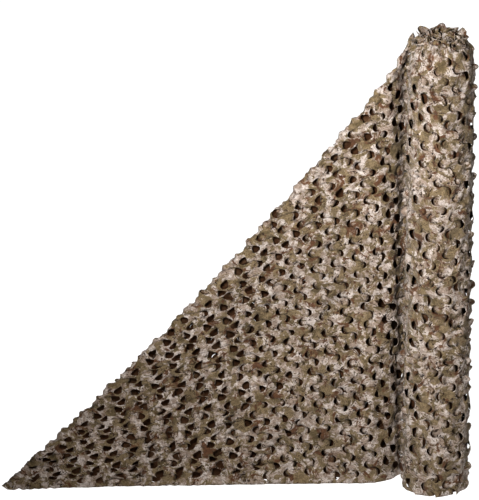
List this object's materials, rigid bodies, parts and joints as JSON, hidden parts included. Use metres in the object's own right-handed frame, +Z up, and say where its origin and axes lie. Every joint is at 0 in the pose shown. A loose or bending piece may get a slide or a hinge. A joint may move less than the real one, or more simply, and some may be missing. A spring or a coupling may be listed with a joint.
{
  "type": "camouflage netting roll",
  "caption": "Upright roll of leaf-cut camouflage netting, its loose end pulled out to one side and folded down to a point on the floor.",
  "frame": {"origin": "centre of the roll's base, on the floor", "axes": "+Z up along the roll, -X towards the tip of the loose end, -Y towards the side from which the open cuts are seen"},
  "size_m": [1.4425, 0.2267, 1.5],
  "materials": {
    "printed_cloth": "matt woven polyester, printed with a mottle of light beige, khaki and brown"
  },
  "bodies": {
    "root": {"net_roll": "printed_cloth", "net_loose_end": "printed_cloth"}
  },
  "joints": []
}
